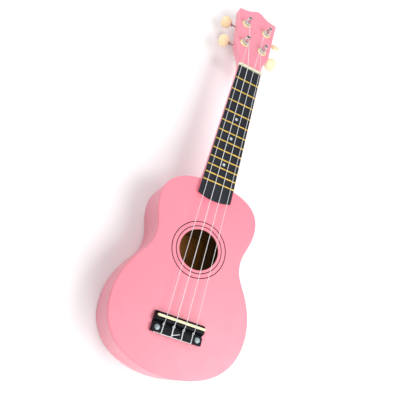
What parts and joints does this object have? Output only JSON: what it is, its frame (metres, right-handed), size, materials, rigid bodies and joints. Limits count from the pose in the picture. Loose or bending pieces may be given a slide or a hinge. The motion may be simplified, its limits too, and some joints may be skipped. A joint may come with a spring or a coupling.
{
  "type": "ukulele",
  "caption": "Soprano ukulele with a figure-eight body, round sound hole, tie bridge, fretted neck and geared tuning machines on a tilted head.",
  "frame": {"origin": "a point on the back's outer face, straight under the middle of the saddle", "axes": "+Z out of the soundboard, +Y along the neck towards the head, +X across the body, to the right as seen from the front with the head up"},
  "size_m": [0.1666, 0.5274, 0.0641],
  "materials": {
    "pink_top": "satin pink paint on plywood",
    "pink_side": "satin pink paint on plywood",
    "pink_neck": "satin pink paint",
    "inner_wood": "raw sawn wood",
    "ring_inlay": "satin",
    "label_paper": "matt paper",
    "black_board": "satin black stain",
    "fret_brass": "polished",
    "dot_pearl": "polished",
    "nut_cream": "satin",
    "saddle_cream": "satin",
    "bridge_black": "satin",
    "screw_steel": "nickel plate",
    "string_nylon": "clear nylon",
    "tuner_chrome": "polished",
    "washer_cream": "satin",
    "post_chrome": "polished",
    "gear_brass": "machined",
    "shaft_steel": "nickel plate",
    "button_cream": "polished"
  },
  "bodies": {
    "body": {"soundboard": "pink_top", "back_plate": "pink_side", "side_left": "pink_side", "side_right": "pink_side", "neck_block": "inner_wood", "tail_block": "inner_wood", "top_linings": "inner_wood", "back_linings": "inner_wood", "top_braces": "inner_wood", "back_braces": "inner_wood", "bridge_plate": "inner_wood", "rosette_rings": "ring_inlay", "interior_label": "label_paper", "neck": "pink_neck", "fingerboard_base": "pink_neck", "fingerboard": "black_board", "frets": "fret_brass", "position_dots": "dot_pearl", "nut": "nut_cream", "bridge": "bridge_black", "saddle": "saddle_cream", "bridge_screws": "screw_steel", "bridge_washers": "screw_steel", "bridge_nuts": "screw_steel", "string_1": "string_nylon", "string_2": "string_nylon", "string_3": "string_nylon", "string_4": "string_nylon", "tuner_plates": "tuner_chrome", "tuner_screws": "screw_steel", "post_bushings": "washer_cream"},
    "post_set_1": {"post_1": "post_chrome", "worm_wheel_1": "gear_brass", "gear_screw_1": "screw_steel", "winding_1": "string_nylon"},
    "turner_1": {"worm_shaft_1": "shaft_steel", "button_1": "button_cream"},
    "post_set_2": {"post_2": "post_chrome", "worm_wheel_2": "gear_brass", "gear_screw_2": "screw_steel", "winding_2": "string_nylon"},
    "turner_2": {"worm_shaft_2": "shaft_steel", "button_2": "button_cream"},
    "post_set_3": {"post_3": "post_chrome", "worm_wheel_3": "gear_brass", "gear_screw_3": "screw_steel", "winding_3": "string_nylon"},
    "turner_3": {"worm_shaft_3": "shaft_steel", "button_3": "button_cream"},
    "post_set_4": {"post_4": "post_chrome", "worm_wheel_4": "gear_brass", "gear_screw_4": "screw_steel", "winding_4": "string_nylon"},
    "turner_4": {"worm_shaft_4": "shaft_steel", "button_4": "button_cream"}
  },
  "joints": [
    {"name": "button_turn_1", "type": "hinge", "parent": "body", "child": "turner_1", "pos_m": [-0.0139, 0.39432, 0.02702], "axis": [1, 0, 0], "continuous": true},
    {"name": "button_turn_2", "type": "hinge", "parent": "body", "child": "turner_2", "pos_m": [-0.0161, 0.43236, 0.01893], "axis": [1, 0, 0], "continuous": true},
    {"name": "button_turn_3", "type": "hinge", "parent": "body", "child": "turner_3", "pos_m": [0.0161, 0.43236, 0.01893], "axis": [1, 0, 0], "continuous": true},
    {"name": "button_turn_4", "type": "hinge", "parent": "body", "child": "turner_4", "pos_m": [0.0139, 0.39432, 0.02702], "axis": [1, 0, 0], "continuous": true},
    {"name": "post_turn_1", "type": "hinge", "parent": "body", "child": "post_set_1", "pos_m": [-0.0139, 0.39176, 0.04576], "axis": [0, 0.2079, 0.9781], "continuous": true},
    {"name": "post_turn_2", "type": "hinge", "parent": "body", "child": "post_set_2", "pos_m": [-0.0161, 0.4298, 0.03767], "axis": [0, 0.2079, 0.9781], "continuous": true},
    {"name": "post_turn_3", "type": "hinge", "parent": "body", "child": "post_set_3", "pos_m": [0.0161, 0.4298, 0.03767], "axis": [0, 0.2079, 0.9781], "continuous": true},
    {"name": "post_turn_4", "type": "hinge", "parent": "body", "child": "post_set_4", "pos_m": [0.0139, 0.39176, 0.04576], "axis": [0, 0.2079, 0.9781], "continuous": true}
  ],
  "couplings": [
    {"joint": "post_turn_1", "follows": "button_turn_1", "ratio": 0.071429},
    {"joint": "post_turn_2", "follows": "button_turn_2", "ratio": 0.071429},
    {"joint": "post_turn_3", "follows": "button_turn_3", "ratio": -0.071429},
    {"joint": "post_turn_4", "follows": "button_turn_4", "ratio": -0.071429}
  ]
}
